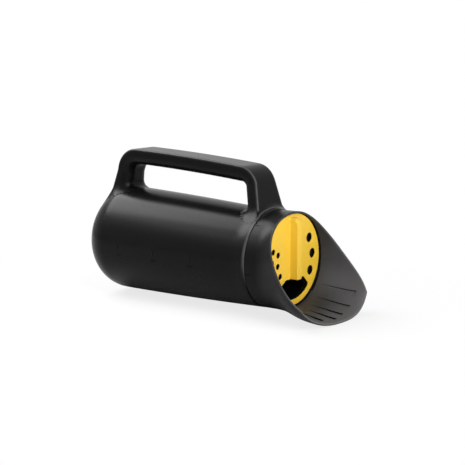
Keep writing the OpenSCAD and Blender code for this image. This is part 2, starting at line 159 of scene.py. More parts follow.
def capped_faces(rows, columns):
    """The same, with a face over each end."""
    ends = tuple(range(columns)), tuple(range((rows - 1) * columns, rows * columns))[::-1]
    return grid_faces(rows, columns) + list(ends)


def make_piece(name, points, faces, sharp_angle=35.0):
    """A smooth piece at the origin, with its place in its mesh."""
    mesh = bpy.data.meshes.new(name)
    mesh.from_pydata([tuple(p) for p in np.asarray(points, dtype=float) * MM], [], faces)
    mesh.validate()
    piece = add_object(name, mesh)
    face_outwards(piece)
    smooth(piece, sharp_angle)
    return piece


def face_outwards(piece):
    """Merges doubles and turns all the faces outwards."""
    work = bmesh.new()
    work.from_mesh(piece.data)
    bmesh.ops.remove_doubles(work, verts=work.verts, dist=1e-6)
    bmesh.ops.recalc_face_normals(work, faces=work.faces)
    work.to_mesh(piece.data)
    work.free()


def smooth(piece, sharp_angle):
    """Smooth shading, with edges sharp from an angle in degrees."""
    piece.data.polygons.foreach_set("use_smooth", [True] * len(piece.data.polygons))
    piece.data.set_sharp_from_angle(angle=math.radians(sharp_angle))
    piece.data.update()


def as_mesh(item):
    """What an object looks like, with its modifiers, as a new mesh."""
    seen = item.evaluated_get(bpy.context.evaluated_depsgraph_get())
    return bpy.data.meshes.new_from_object(seen)


def apply_modifiers(piece):
    """Turns the piece with its modifiers into a plain mesh."""
    mesh = as_mesh(piece)
    piece.modifiers.clear()
    old = piece.data
    piece.data = mesh
    bpy.data.meshes.remove(old)


def combine(piece, other, operation):
    """Joins, or cuts, a piece with another one, which is then removed."""
    step = piece.modifiers.new("combine", "BOOLEAN")
    step.operation = operation
    step.solver = "EXACT"
    step.object = other
    apply_modifiers(piece)
    bpy.data.objects.remove(other)


# %% [markdown]
# ## The container's body
#
# The body is a round moulding: a gently barrelled wall that tapers to the seam, and a big
# rounding into the flat base. Its front rim swells by a millimetre on top and at the sides,
# so that its edge stands over the collar and catches the light. It is turned like a pot: one
# outline, many copies of it round the axis. The axis itself falls a little towards the head,
# so that the underside is level.

# %% Outline of the body
RIM_PROUD = 1.25
RIM_REACH = 16.0
RIM_EDGE = 0.7
NECK_STEP = 1.0


def ease(t):
    """A smooth change from 0 to 1, which starts and ends level."""
    t = np.clip(t, 0, 1)
    return t * t * (3 - 2 * t)


def rim_share(x):
    """How far the wall has swelled into the front rim, from 0 to 1."""
    return ease((x - CONTAINER_L + RIM_REACH) / RIM_REACH)


def wall_r(x):
    """Radius of the wall at a distance in front of the base, on the body's own axis."""
    t = x / CONTAINER_L
    return (BASE_D / 2 * (1 - t) + SEAM_D / 2 * t + BELLY * 4 * t * (1 - t)
            + RIM_PROUD * rim_share(x))


REAR_FACE_R = wall_r(REAR_ROUND) - REAR_ROUND
ROUND_X = REAR_ROUND - BASE_CUT


def to_body(x, across, height):
    """From the body's own axis to the shared frame."""
    along = x - CONTAINER_L
    height = height + RIM_PROUD * rim_share(x)
    return (CONTAINER_L + along * math.cos(PITCH) + height * math.sin(PITCH),
            across,
            -SEAM_DROP - along * math.sin(PITCH) + height * math.cos(PITCH))


def body_distance(points):
    """Distance of points from the body's wall; negative is inside."""
    along = points[..., 0] - CONTAINER_L
    height = points[..., 2] + SEAM_DROP
    x = CONTAINER_L + along * math.cos(PITCH) - height * math.sin(PITCH)
    z = along * math.sin(PITCH) + height * math.cos(PITCH) - RIM_PROUD * rim_share(x)
    r = np.hypot(points[..., 1], z)
    wall = r - wall_r(x)
    rounded = np.hypot(np.minimum(x - ROUND_X, 0), np.maximum(r - REAR_FACE_R, 0))
    rounded -= REAR_ROUND
    return np.where(x < ROUND_X, rounded, wall)


outline = [(-BASE_CUT, 0.0), (-BASE_CUT, REAR_FACE_R)]
outline += [(ROUND_X - REAR_ROUND * math.cos(a), REAR_FACE_R + REAR_ROUND * math.sin(a))
            for a in arc(34)[1:]]
outline += [(x, wall_r(x)) for x in np.linspace(ROUND_X, CONTAINER_L - RIM_EDGE, 60)[1:]]
outline += [(CONTAINER_L - RIM_EDGE + RIM_EDGE * math.sin(a),
             wall_r(CONTAINER_L) - RIM_EDGE + RIM_EDGE * math.cos(a))
            for a in arc(6)[1:]]
NECK_END = (CONTAINER_L - CONTAINER_WALL, NECK_R - NECK_WALL)
outline += [(CONTAINER_L, NECK_R - NECK_STEP), NECK_END]
print("body outline:", len(outline), "points")

# %% [markdown]
# ## Turning the body
#
# The outline goes round in steps of less than two degrees. Points behind the base plane are
# pushed flat onto it, as the trimmed base of the moulding is, and points in front of the seam
# onto the seam's plane. The inside of the wall follows every third point of the same outline,
# up to the rim, and a flat ring closes it there. The neck goes on inside the collar, where
# nobody sees it, so it is left out.

# %% Turn the body
AROUND = 200


def turned(profile, flat_base=0.0):
    """Rows of points: the profile turned about the body's axis."""
    rows = []
    for x, r in profile:
        for a in np.linspace(0, 2 * math.pi, AROUND, endpoint=False):
            px, py, pz = to_body(x, r * math.cos(a), r * math.sin(a))
            rows.append((min(max(px, flat_base), CONTAINER_L), py, pz))
    return rows


wall = CONTAINER_WALL
seam_points = 7  # of the rim's edge and the bore
inside = [(max(x + wall if i < 2 else x, wall), max(r - wall, 0.0))
          for i, (x, r) in enumerate(outline[:-seam_points:3])]
inside += [(CONTAINER_L - wall, wall_r(CONTAINER_L) - wall), NECK_END]
body_points = turned(outline) + turned(inside[::-1], wall)
rows = len(outline) + len(inside)
body = make_piece("container_shell", body_points, grid_faces(rows, AROUND))
print("body faces:", len(body.data.polygons))

# %% [markdown]
# ## The handle's middle line
#
# The loop handle is a bar that follows a bent line: up the rear leg, along the grip and down
# the front leg. The line is made of straights and round bends, and the grip is crowned by a
# millimetre.

# %% Middle line of the handle
HANDLE_W = 31.5
HANDLE_T = 15.72
REAR_CORNER = np.array([31.5, 88.0])
FRONT_CORNER = np.array([186.0, 78.3])
SPLAY = math.tan(math.radians(13))
LEG_TAPER = math.tan(math.radians(10))
CROWN = 0.95
REAR_ROOT_Z, FRONT_ROOT_Z = 30.0, 24.0
REAR_BEND_R, FRONT_BEND_R = 16.0, 14.0
LEG_POINTS, GRIP_POINTS = 90, 40


def leg_root(corner, way, depth_z):
    """Where a leg's middle line ends, in the hollow of the body."""
    return np.array([corner[0] + way * (corner[1] - depth_z) * SPLAY, depth_z])


def bend(before, corner, after, radius, steps=24):
    """Points of a round bend at a corner."""
    u = (before - corner) / np.linalg.norm(before - corner)
    v = (after - corner) / np.linalg.norm(after - corner)
    half = math.acos(float(u @ v)) / 2
    centre = corner + (u + v) / np.linalg.norm(u + v) * radius / math.sin(half)
    n0 = (corner + u * radius / math.tan(half) - centre) / radius
    n1 = (corner + v * radius / math.tan(half) - centre) / radius
    sweep = math.acos(float(n0 @ n1))
    turns = np.linspace(0, 1, steps + 1)
    return [centre + radius * (n0 * math.sin((1 - t) * sweep) + n1 * math.sin(t * sweep))
            / math.sin(sweep) for t in turns]


rear_root = leg_root(REAR_CORNER, -1, REAR_ROOT_Z)
front_root = leg_root(FRONT_CORNER, 1, FRONT_ROOT_Z)
rear_bend = bend(rear_root, REAR_CORNER, FRONT_CORNER, REAR_BEND_R)
front_bend = bend(REAR_CORNER, FRONT_CORNER, front_root, FRONT_BEND_R)
path = [rear_root + (rear_bend[0] - rear_root) * t
        for t in np.linspace(0, 1, LEG_POINTS, endpoint=False)]
path += rear_bend
path += [rear_bend[-1] + (front_bend[0] - rear_bend[-1]) * t
         + np.array([0, CROWN * 4 * t * (1 - t)]) for t in np.linspace(0, 1, GRIP_POINTS)[1:-1]]
path += front_bend
path += [front_bend[-1] + (front_root - front_bend[-1]) * t
         for t in np.linspace(0, 1, LEG_POINTS + 1)[1:]]
path = np.array(path)
print("handle line:", len(path), "points")

# %% [markdown]
# ## The bar and its fillets
#
# The bar's section is a rectangle with crisp outer edges and soft inner ones, where the
# fingers go. The rear leg's are the softest, and the legs widen downwards. Near the body each
# point is moved out until it lies on a rolling-ball fillet between the leg and the body. The
# move is found by halving an interval, for all the points at once.

# %% Skin the handle
OUTER_EDGE = 1.8
INNER_EDGE = 7.5
REAR_INNER_EDGE = 11.0
SOFT_PAST_LEG, SOFT_FADE = 20, 30  # in points of the path
ROOT_FILLET, END_FILLET = 8.0, 6.0
HALVINGS = 26


def section(half_w, inner):
    """Section of the bar as (across, outward), and each point's outward direction."""
    out = HANDLE_T / 2
    places = []
    for cy, cz, r, start in ((half_w - OUTER_EDGE, out - OUTER_EDGE, OUTER_EDGE, 0),
                             (-half_w + OUTER_EDGE, out - OUTER_EDGE, OUTER_EDGE, 90),
                             (-half_w + inner, -out + inner, inner, 180),
                             (half_w - inner, -out + inner, inner, 270)):
        for a in arc(9, start):
            c, n = math.cos(a), math.sin(a)
            places.append((cy + r * c, cz + r * n, c, n))
        nx, nz = math.cos(math.radians(start + 90)), math.sin(math.radians(start + 90))
        here = places[-1]
        if start in (0, 180):
            span = 2 * (half_w - (OUTER_EDGE if start == 0 else inner))
            for t in np.linspace(0, 1, 14)[1:-1]:
                y = here[0] - math.copysign(span * t, here[0])
                places.append((y, here[1], nx, nz))
        else:
            span = HANDLE_T - OUTER_EDGE - inner
            for t in np.linspace(0, 1, 5)[1:-1]:
                z = here[1] - math.copysign(span * t, here[1])
                places.append((here[0], z, nx, nz))
    return np.array(places)


def leg_half_w(z):
    """Half the bar's width at a height of its middle line."""
    return HANDLE_W / 2 + max(0.0, FRONT_CORNER[1] - HANDLE_T / 2 - z) * LEG_TAPER


ways = np.gradient(path, axis=0)
ways /= np.linalg.norm(ways, axis=1)[:, None]
starts, normals, radii = [], [], []
for i, (point, way) in enumerate(zip(path, ways)):
    outward = np.array([-way[1], way[0]])
    rear = ease((LEG_POINTS + SOFT_PAST_LEG - i) / SOFT_FADE)
    s = section(leg_half_w(point[1]), INNER_EDGE + (REAR_INNER_EDGE - INNER_EDGE) * rear)
    starts.append(np.stack([point[0] + outward[0] * s[:, 1], s[:, 0],
                            point[1] + outward[1] * s[:, 1]], 1))
    normals.append(np.stack([outward[0] * s[:, 3], s[:, 2], outward[1] * s[:, 3]], 1))
    radii.append(np.where(s[:, 3] > 0.5, END_FILLET, ROOT_FILLET))
starts, normals, radii = np.array(starts), np.array(normals), np.array(radii)


def fillet_move(start, normal, radius):
    """How far each point moves out to lie on the fillet."""
    low, high = np.zeros(radius.shape), radius.copy()
    for _ in range(HALVINGS):
        middle = (low + high) / 2
        above = body_distance(start + normal * middle[..., None])
        down = np.clip(radius - above, 0, radius)
        wanted = radius - np.sqrt(np.maximum(radius ** 2 - down ** 2, 0))
        low = np.where(middle < wanted, middle, low)
        high = np.where(middle < wanted, high, middle)
    return low


moves = fillet_move(starts, normals, radii)
handle_points = starts + normals * moves[..., None]
around = handle_points.shape[1]
handle = make_piece("handle", handle_points.reshape(-1, 3), capped_faces(len(path), around))
print("largest fillet move:", round(float(moves.max()), 2), "mm")

# %% [markdown]
# ## One moulding
#
# Body and handle leave the mould as one piece, so a Boolean union joins the two. The legs end
# in the hollow of the body, and faces of the wall are left inside them; neither shows. The
# front leg's foot reaches over the seam, onto the collar.

# %% Join the handle and the body
combine(body, handle, "UNION")
smooth(body, 30.0)
print("container faces:", len(body.data.polygons))

# %% [markdown]
# ## The head
#
# Collar and scoop are one moulding. Each line along it starts at the seam, runs straight at
# first, flares out and ends where the oblique lip cuts it. So the mesh is made of such lines:
# the cut's edge is then a clean row of points, and the rim can be rounded.

# %% Shape of the scoop
SCOOP_L = 56.0
SCOOP_HALF_W = 65.0
SCOOP_DEPTH = 53.59
FLARE_START, FLARE_END = -12.0, 44.0
FLOOR_START, FLOOR_END = 12.0, 58.0
TIP_SQUARE = 2.7
TIP_R = 200.0
LIP = ((1.5, COLLAR_R - COLLAR_DROP + 1.0), (1.2, 13.5), (SCOOP_L + 8.4, -SCOOP_DEPTH + 2.0))


def ramp(x, start, end):
    """Share of a smooth change that is reached at x."""
    return ease((x - start) / (end - start))


def scoop_point(x, angle, inset):
    """A point of the head's wall, in front of the dial's face, set in by the inset."""
    s = ramp(x, FLARE_START, FLARE_END)
    half_w = COLLAR_R + (SCOOP_HALF_W - COLLAR_R) * s - inset
    top = COLLAR_R - inset
    deeper = (SCOOP_DEPTH - COLLAR_DROP - COLLAR_R) * ramp(x, FLOOR_START, FLOOR_END)
    low = COLLAR_R + deeper - inset
    power = 2 / (2 + (TIP_SQUARE - 2) * s)
    c, n = math.cos(angle), math.sin(angle)
    across = half_w * np.sign(c) * abs(c) ** power
    height = np.where(n > 0, top, low) * np.sign(n) * abs(n) ** power - COLLAR_DROP
    return np.stack([np.broadcast_to(x, across.shape), across, height], -1)


def lip_x(z):
    """How far forward the lip reaches at a height."""
    t = np.linspace(0, 1, 120)
    x, height = ((1 - t) ** 2 * a + 2 * t * (1 - t) * b + t * t * c for a, b, c in zip(*LIP))
    return np.interp(-np.asarray(z), -height, x)


def rim_x(angle, inset):
    """Where the line at this angle meets the lip or the tip's front edge."""
    x = np.linspace(0.2, SCOOP_L, 500)
    p = scoop_point(x, angle, inset)
    tip = SCOOP_L - TIP_R + np.sqrt(np.maximum(TIP_R ** 2 - p[:, 1] ** 2, 0))
    room = np.minimum(lip_x(p[:, 2]), tip) - x
    past = np.nonzero(room < 0)[0]
    if len(past) == 0:
        return SCOOP_L
    i = max(int(past[0]), 1)
    f = room[i - 1] / (room[i - 1] - room[i])
    return float(x[i - 1] + (x[i] - x[i - 1]) * f)


print("lip at the sides:", round(rim_x(0.0, 0.0), 1), "mm in front of the dial")

# %% [markdown]
# ## The lines of the head
#
# A line goes over the seam's small edge, along the outside, round the rim, back along the
# inside to the pocket where the dial turns, and along the stepped bore that holds the plate
# and takes the neck. All the lines side by side close into one shell.

# %% Build the head
LINES = 320
RIM_R = HEAD_WALL / 2
RIM_BACK = RIM_R * 1.05
SEAM_EDGE = 0.8
SHORTEST = 0.8
POCKET_EDGE, POCKET_EASE, POCKET_DEEP = 0.1, 0.12, 3.2
LEDGE_R, LEDGE_DEEP = 42.2, 4.4
BORE_R = 43.5
HIGHLIGHT_AHEAD, HIGHLIGHT_OUT = 0.8, 0.3
BORE = ((0.0, POCKET_R + POCKET_EDGE), (-POCKET_EDGE, POCKET_R), (-POCKET_DEEP, POCKET_R),
        (-POCKET_DEEP, LEDGE_R), (-LEDGE_DEEP, LEDGE_R), (-LEDGE_DEEP, BORE_R), (-COLLAR_L, BORE_R))


def head_line(angle):
    """The points of one line, and the point of its rim where the painted highlight is brightest."""
    def at(x, inset):
        return scoop_point(np.array(x), angle, inset)

    end = max(rim_x(angle, RIM_R) - RIM_BACK, SHORTEST)
    seam = [at(-COLLAR_L + SEAM_EDGE - SEAM_EDGE * math.cos(a), SEAM_EDGE - SEAM_EDGE * math.sin(a))
            for a in arc(6)]
    outer = [at(x, 0.0) for x in np.linspace(-COLLAR_L + SEAM_EDGE, end, 60)[1:]]
    far, near = at(end, 0.0), at(end, HEAD_WALL)
    centre, side = (far + near) / 2, (far - near) / 2
    ahead = at(end + 0.5, RIM_R) - at(end - 0.5, RIM_R)
    ahead *= RIM_R / np.linalg.norm(ahead)
    rim = [centre + side * math.cos(a) + ahead * math.sin(a)
           for a in arc(11, 0, 180)[1:-1]]
    inner = [at(x, HEAD_WALL) for x in np.linspace(end, 0.0, 50)]
    for p in inner:
        r = math.hypot(p[1], p[2])
        p[1:] *= max(r, POCKET_R + POCKET_EASE) / r
    way = inner[-1][1:] / math.hypot(inner[-1][1], inner[-1][2])
    bore = [np.array([x, way[0] * r, way[1] * r]) for x, r in BORE]
    # The painted highlight along the lip is centred on this point of the rim.
    painted_highlight = centre + ahead * HIGHLIGHT_AHEAD + side * HIGHLIGHT_OUT
    return np.array(seam + outer + rim + inner + bore), painted_highlight


lines = [head_line(angle) for angle in np.linspace(0, 2 * math.pi, LINES, endpoint=False)]
head_points = np.array([line for line, painted_highlight in lines])
rim_points = np.array([painted_highlight for line, painted_highlight in lines]) + np.array([DIAL_X, 0, 0])
head_points[..., 0] += DIAL_X
n_lines, n_rows = head_points.shape[:2]
head_points = head_points.transpose(1, 0, 2).reshape(-1, 3)
head_faces = grid_faces(n_rows, n_lines, closed_rows=True)
head = make_piece("head_shell", head_points, head_faces, 40.0)
print("head faces:", len(head.data.polygons))

# %% [markdown]
# ## Grooves in the scoop's floor
#
# Seven tapered grooves line the floor near the tip. Each cutter is a thin wedge that follows
# the floor: its underside lies below the surface, deeper towards the tip, and its front wall
# is blunt. Cutting them keeps their edges crisp, as in the moulding.

# %% Cut the grooves
GROOVES, GROOVE_STEP = 7, 18.0
GROOVE_L, GROOVE_W, GROOVE_DEPTH = 34.0, 6.0, 1.5
GROOVE_TIP_GAP, GROOVE_STAGGER = 7.5, 3.5
FLOOR_R = 50.0
CUTTER_RISE = 1.0


def floor_point(x, across_angle):
    """A point of the scoop's inside at an angle from straight down, by search."""
    angles = np.linspace(-math.pi, 0, 241)
    p = np.array([scoop_point(np.array(x), a, HEAD_WALL) for a in angles])
    seen = np.degrees(np.arctan2(p[:, 1], -p[:, 2]))
    return np.array([x, *(np.interp(across_angle, seen, p[:, k]) for k in (1, 2))])


def groove_cutter(k):
    """A wedge round the line at k steps from the middle of the floor."""
    front = SCOOP_L - GROOVE_TIP_GAP - GROOVE_STAGGER * abs(k)
    points = []
    along, across = 16, 6
    for i in range(along + 1):
        t = i / along
        depth = GROOVE_DEPTH * min(1.0, 0.15 + 1.4 * t)
        for j in range(across + 1):
            side = (j / across - 0.5) * GROOVE_W * max(t, 0.02)
            angle = GROOVE_STEP * k + math.degrees(side / FLOOR_R)
            p = floor_point(front - GROOVE_L * (1 - t), angle)
            out = np.array([0, p[1], p[2]]) / math.hypot(p[1], p[2])
            points += [p + out * depth, p - out * CUTTER_RISE]
    quads = []
    for i in range(along):
        for j in range(across):
            quads += [((i, j, 0), (i + 1, j, 0), (i + 1, j + 1, 0), (i, j + 1, 0)),
                      ((i, j, 1), (i, j + 1, 1), (i + 1, j + 1, 1), (i + 1, j, 1))]
    for i in range(along):
        quads += [((i, 0, 0), (i, 0, 1), (i + 1, 0, 1), (i + 1, 0, 0)),
                  ((i, across, 0), (i + 1, across, 0), (i + 1, across, 1), (i, across, 1))]
    for j in range(across):
        quads += [((0, j, 0), (0, j + 1, 0), (0, j + 1, 1), (0, j, 1)),
                  ((along, j, 0), (along, j, 1), (along, j + 1, 1), (along, j + 1, 0))]
    faces = [tuple((i * (across + 1) + j) * 2 + top for i, j, top in quad) for quad in quads]
    points = np.array(points)
    points[:, 0] += DIAL_X
    return make_piece("groove", points, faces)


for k in range(-(GROOVES // 2), GROOVES // 2 + 1):
    combine(head, groove_cutter(k), "DIFFERENCE")
smooth(head, 32.0)
print("head faces with grooves:", len(head.data.polygons))

# %% [markdown]
# ## The dial
#
# The dial is a flat disc with a wide gate, three large holes and two rows of small ones. A
# flat curve with holes is the plainest way to such a plate: Blender fills it, gives it its
# thickness and rounds its edges.

# %% Outline of the dial's plate
GATE_OUT = DIAL_R - 5.2
GATE_SWEEP = math.radians(44)
GATE_UPPER = ((-24.0, -27.0), (-10.5, -18.4), (18.4, -18.8), (25.6, -25.6))
GATE_CORNER = 1.2
LARGE_D, LARGE_SHIFT = 9.4, 1.3
SMALL_D = 5.8
LARGE_ROW = (3.5, 30.5, 3, 31.5)
SMALL_ROWS = ((189, 25.5, 3, 24.3), (189, 18.7, 4, 32.8))
EDGE = 0.35


def gate_outline():
    """Points of the gate: a straight upper edge, slanted sides and a round foot."""
    foot = [np.array([GATE_OUT * math.sin(a), -GATE_OUT * math.cos(a)])
            for a in np.linspace(GATE_SWEEP, -GATE_SWEEP, 40)]
    corners = [foot[-1], *(np.array(p) for p in GATE_UPPER), foot[0]]
    points = list(foot[1:-1])
    for before, corner, after in zip(corners, corners[1:-1], corners[2:]):
        points += bend(before, corner, after, GATE_CORNER, 4)
    return points


def circle(centre_y, centre_z, radius, points):
    """Points of a circle as (across, height)."""
    return [(centre_y + radius * math.cos(a), centre_z + radius * math.sin(a))
            for a in np.linspace(0, 2 * math.pi, points, endpoint=False)]


def hole_row(middle, step, count, radius):
    """Centres of a row of holes; the middle and the step are in degrees."""
    turns = [math.radians(middle + (i - (count - 1) / 2) * step) for i in range(count)]
    return [(radius * math.cos(a), radius * math.sin(a)) for a in turns]


outlines = [circle(0, 0, DIAL_R, 160), gate_outline()]
outlines += [circle(y + LARGE_SHIFT, z, LARGE_D / 2, 48) for y, z in hole_row(*LARGE_ROW)]
outlines += [circle(y, z, SMALL_D / 2, 36) for row in SMALL_ROWS for y, z in hole_row(*row)]
print("dial outlines:", len(outlines))

# %% [markdown]
# ## The dial's plate
#
# The curve is drawn flat, so it is filled and bevelled first. Its points are then turned to
# stand across the dial's axis, and the piece itself stays at the origin, unturned.

# %% Fill and thicken the plate
curve = bpy.data.curves.new("dial_curve", "CURVE")
curve.dimensions = "2D"
curve.fill_mode = "BOTH"
curve.extrude = (DIAL_T / 2 - EDGE) * MM
curve.bevel_depth = EDGE * MM
curve.bevel_resolution = 3
curve.offset = -EDGE * MM
for points in outlines:
    spline = curve.splines.new("POLY")
    spline.points.add(len(points) - 1)
    flat_points = [v for y, z in points for v in (y * MM, z * MM, 0.0, 1.0)]
    spline.points.foreach_set("co", flat_points)
    spline.use_cyclic_u = True
flat = add_object("dial_flat", curve)
plate_mesh = as_mesh(flat)
stand = ((0, 0, 1, (DIAL_X - DIAL_T / 2) * MM), (1, 0, 0, 0), (0, 1, 0, 0), (0, 0, 0, 1))
plate_mesh.transform(Matrix(stand))
bpy.data.objects.remove(flat)
dial = add_object("dial_plate", plate_mesh)
face_outwards(dial)
smooth(dial, 30.0)
print("dial plate faces:", len(dial.data.polygons))

# %% [markdown]
# ## The grip bar
#
# A ridge runs up the middle of the dial for thumb and finger. Its foot spreads into a small
# fillet, its sides draw in towards the front, and its ends round over. It is a stack of
# outlines, one for each height above the disc, and the lowest is sunk in the disc.

# %% Build the grip bar
BAR_H = 8.0
BAR_W = 7.6
BAR_DRAFT = 1.2
BAR_TOP, BAR_LOW = 40.5, -18.4
BAR_FOOT = 1.4
BAR_EDGE = 0.8
BAR_SUNK = 1.0
BAR_END_R = BAR_H - 1.0


def bar_outline(half, low, high, top_r):
    """A long rounded shape as (across, height)."""
    r = min(half * 0.98, 1.0)
    points = []
    for cy, cz, rr, start in ((half - top_r, high - top_r, top_r, 0),
                              (-half + top_r, high - top_r, top_r, 90),
                              (-half + r, low + r, r, 180), (half - r, low + r, r, 270)):
        points += [(cy + rr * math.cos(a), cz + rr * math.sin(a))
                   for a in arc(8, start)]
    return points


half = BAR_W / 2
base = half + BAR_DRAFT
edge_start = BAR_H - BAR_EDGE
levels = [(-BAR_SUNK, base + BAR_FOOT)]
levels += [(BAR_FOOT - BAR_FOOT * math.cos(a), base + BAR_FOOT - BAR_FOOT * math.sin(a))
           for a in arc(7)]
levels += [(h, base + (half - base) * (h - BAR_FOOT) / (edge_start - BAR_FOOT))
           for h in np.linspace(BAR_FOOT, edge_start, 6)[1:]]
levels += [(edge_start + BAR_EDGE * math.sin(a), half - BAR_EDGE + BAR_EDGE * math.cos(a))
           for a in arc(6)[1:]]
bar_points = []
for height, half_width in levels:
    over = max(0.0, height - (BAR_H - BAR_END_R))
    fall = BAR_END_R - math.sqrt(max(BAR_END_R ** 2 - over ** 2, 0.0))
    past = max(height - edge_start, 0.0)
    low_fall = BAR_EDGE - math.sqrt(max(BAR_EDGE ** 2 - past ** 2, 0.0))
    bar_points += [(DIAL_X + height, y, z) for y, z in bar_outline(
        half_width, BAR_LOW + low_fall, BAR_TOP - fall * 0.9, min(half_width * 0.6, 3.0))]
bar_faces = capped_faces(len(levels), len(bar_points) // len(levels))
bar = make_piece("grip_bar", bar_points, bar_faces)
combine(dial, bar, "UNION")
print("dial faces with the bar:", len(dial.data.polygons))

# %% [markdown]
# ## The hub
#
# Behind the disc a round hub runs in the plate's bore, and the screw sits in it. It is four
# rings of points.

# %% Build the hub
HUB_AROUND = 72
HUB_SUNK = 0.6
HUB_EDGE = 0.4
hub_rings = ((HUB_SUNK, HUB_R), (DIAL_DEEP, HUB_R), (HUB_END - HUB_EDGE, HUB_R),
             (HUB_END, HUB_R - HUB_EDGE))
hub_points = [(DIAL_X - x, y, z) for x, r in hub_rings for y, z in circle(0, 0, r, HUB_AROUND)]
hub = make_piece("hub", hub_points, capped_faces(len(hub_rings), HUB_AROUND))
combine(dial, hub, "UNION")
smooth(dial, 32.0)
print("dial faces:", len(dial.data.polygons))

# %% [markdown]
# ## Shader sums
#
# Finishes are sums of noises. To write such a sum as a plain expression, one small class
# holds a socket and turns plus, minus and times into Math nodes. A second class holds a
# material, and one function adds any other node to a tree.

# %% Socket values and finishes
class Value:
    """A socket that can stand in a sum."""

    def __init__(self, socket):
        self.socket = socket

    def sum(self, operation, *terms):
        tree = self.socket.id_data
        node = tree.nodes.new("ShaderNodeMath")
        node.operation = operation
        for place, term in zip(node.inputs, terms):
            feed(tree, place, term)
        return Value(node.outputs[0])

    def __add__(self, other):
        return self.sum("ADD", self, other)

    def __sub__(self, other):
        return self.sum("SUBTRACT", self, other)

    def __rsub__(self, other):
        return self.sum("SUBTRACT", other, self)

    def __mul__(self, other):
        return self.sum("MULTIPLY", self, other)

    __radd__ = __add__
    __rmul__ = __mul__


def feed(tree, place, term):
    """Gives an input a link or a number."""
    if isinstance(term, Value):
        tree.links.new(term.socket, place)
    else:
        place.default_value = term


def add_node(tree, kind, settings=None, **inputs):
    """A new node: its settings are made first, then its inputs get values or links."""
    node = tree.nodes.new(kind)
    for key, value in (settings or {}).items():
        setattr(node, key, value)
    for key, value in inputs.items():
        feed(tree, node.inputs[key.replace("_", " ").strip()], value)
    return node


class Finish:
    """A material with one Principled shader."""

    def __init__(self, name, **constants):
        self.material = bpy.data.materials.new(name)
        self.material.use_nodes = True
        self.tree = self.material.node_tree
        self.shader = self.tree.nodes["Principled BSDF"]
        for key, value in constants.items():
            self.shader.inputs[key.replace("_", " ")].default_value = value
        self.place = Value(self.node("TexCoord").outputs["Object"])

    def node(self, kind, settings=None, **inputs):
        return add_node(self.tree, "ShaderNode" + kind, settings, **inputs)

    def noise(self, scale, detail=2.0, roughness=0.5):
        node = self.node("TexNoise", Vector=self.place, Scale=scale, Detail=detail,
                         Roughness=roughness)
        return Value(node.outputs[0])

    def mix(self, factor, first, second):
        """A mix of two colours."""
        node = self.tree.nodes.new("ShaderNodeMix")
        node.data_type = "RGBA"
        for index, value in ((0, factor), (6, first), (7, second)):
            if isinstance(value, tuple):
                value = (*value, 1.0)
            feed(self.tree, node.inputs[index], value)
        return Value(node.outputs[2])

    def bump(self, height, distance, strength):
        node = self.node("Bump", Strength=strength, Distance=distance, Height=height)
        feed(self.tree, self.shader.inputs["Normal"], Value(node.outputs["Normal"]))

    def surface(self, **links):
        for key, value in links.items():
            feed(self.tree, self.shader.inputs[key.replace("_", " ")], value)
        return self.material


# %% [markdown]
# ## Black moulded plastic
#
# Container and head are satin black plastic. The mould's fine spark texture shows as a soft
# grain in the highlight, and handling leaves faint patches that are a little smoother. Three
# noises do this: a very fine one for the bump, a wide and a fine one for colour and gloss.
# Outer edges are painted pale: a painted highlight for the lamps' reflection on rounded edges.
# The inside of the scoop has a finish of its own, with painted light.

# %% Finish of the black plastic
def black_plastic(name, gloss, painted_edges=True):
    finish = Finish(name, Specular_IOR_Level=0.08)
    grain = finish.noise(1900.0, 3.0, 0.6)
    wide = finish.noise(28.0, 3.0, 0.55)
    fine = finish.noise(240.0)
    finish.bump(grain, 0.00005, 0.16)
    darker, paler = (0.0032, 0.0032, 0.0034), (0.0050, 0.0050, 0.0052)
    colour = finish.mix(wide * 0.6 + fine * 0.4, darker, paler)
    # Painted highlight: near the marked edges the colour turns pale grey, for the lamps'
    # reflection.
    if painted_edges:
        painted_highlight = Value(finish.node("Attribute", {"attribute_name": "edge"}).outputs["Fac"])
        colour = finish.mix(painted_highlight * (0.85 + fine * 0.3), colour, (0.085, 0.085, 0.088))
    return finish.surface(Base_Color=colour, Roughness=gloss + wide * 0.07 + fine * 0.03)


container_plastic = black_plastic("satin_black_container", 0.21)
head_plastic = black_plastic("satin_black_head", 0.25)


def scoop_painted_light():
    """The inside of the scoop: duller, with painted light that makes it paler towards the tip."""
    finish = Finish("black_scoop_painted_light", Specular_IOR_Level=0.40)
    grain = finish.noise(1500.0, 3.0, 0.6)
    wide = finish.noise(40.0, 3.0, 0.55)
    finish.bump(grain, 0.00006, 0.25)
    along = finish.node("SeparateXYZ", Vector=finish.place).outputs["X"]
    to_tip = finish.node("MapRange", {"interpolation_type": "SMOOTHSTEP"}, Value=Value(along),
                         From_Min=(DIAL_X + 14) * MM, From_Max=(DIAL_X + SCOOP_L) * MM,
                         To_Min=0.0, To_Max=0.85)
    # Painted light: the colour turns paler towards the tip, for light falling into the open scoop.
    painted_light_share = Value(to_tip.outputs["Result"]) + wide * 0.15 + grain * 0.05
    colour = finish.mix(painted_light_share, (0.023, 0.023, 0.024), (0.105, 0.105, 0.107))
    return finish.surface(Base_Color=colour, Roughness=0.40 + wide * 0.10)


scoop_plastic = scoop_painted_light()
print("black finishes:", container_plastic.name, head_plastic.name, scoop_plastic.name)

# %% [markdown]
# ## Yellow dial plastic
#
# The dial is a warm yellow with a smooth moulded face. A wide noise shifts the yellow and the
# gloss slightly, as the colour is never mixed quite evenly, and a fine one gives the face the
# faint texture of the tool.

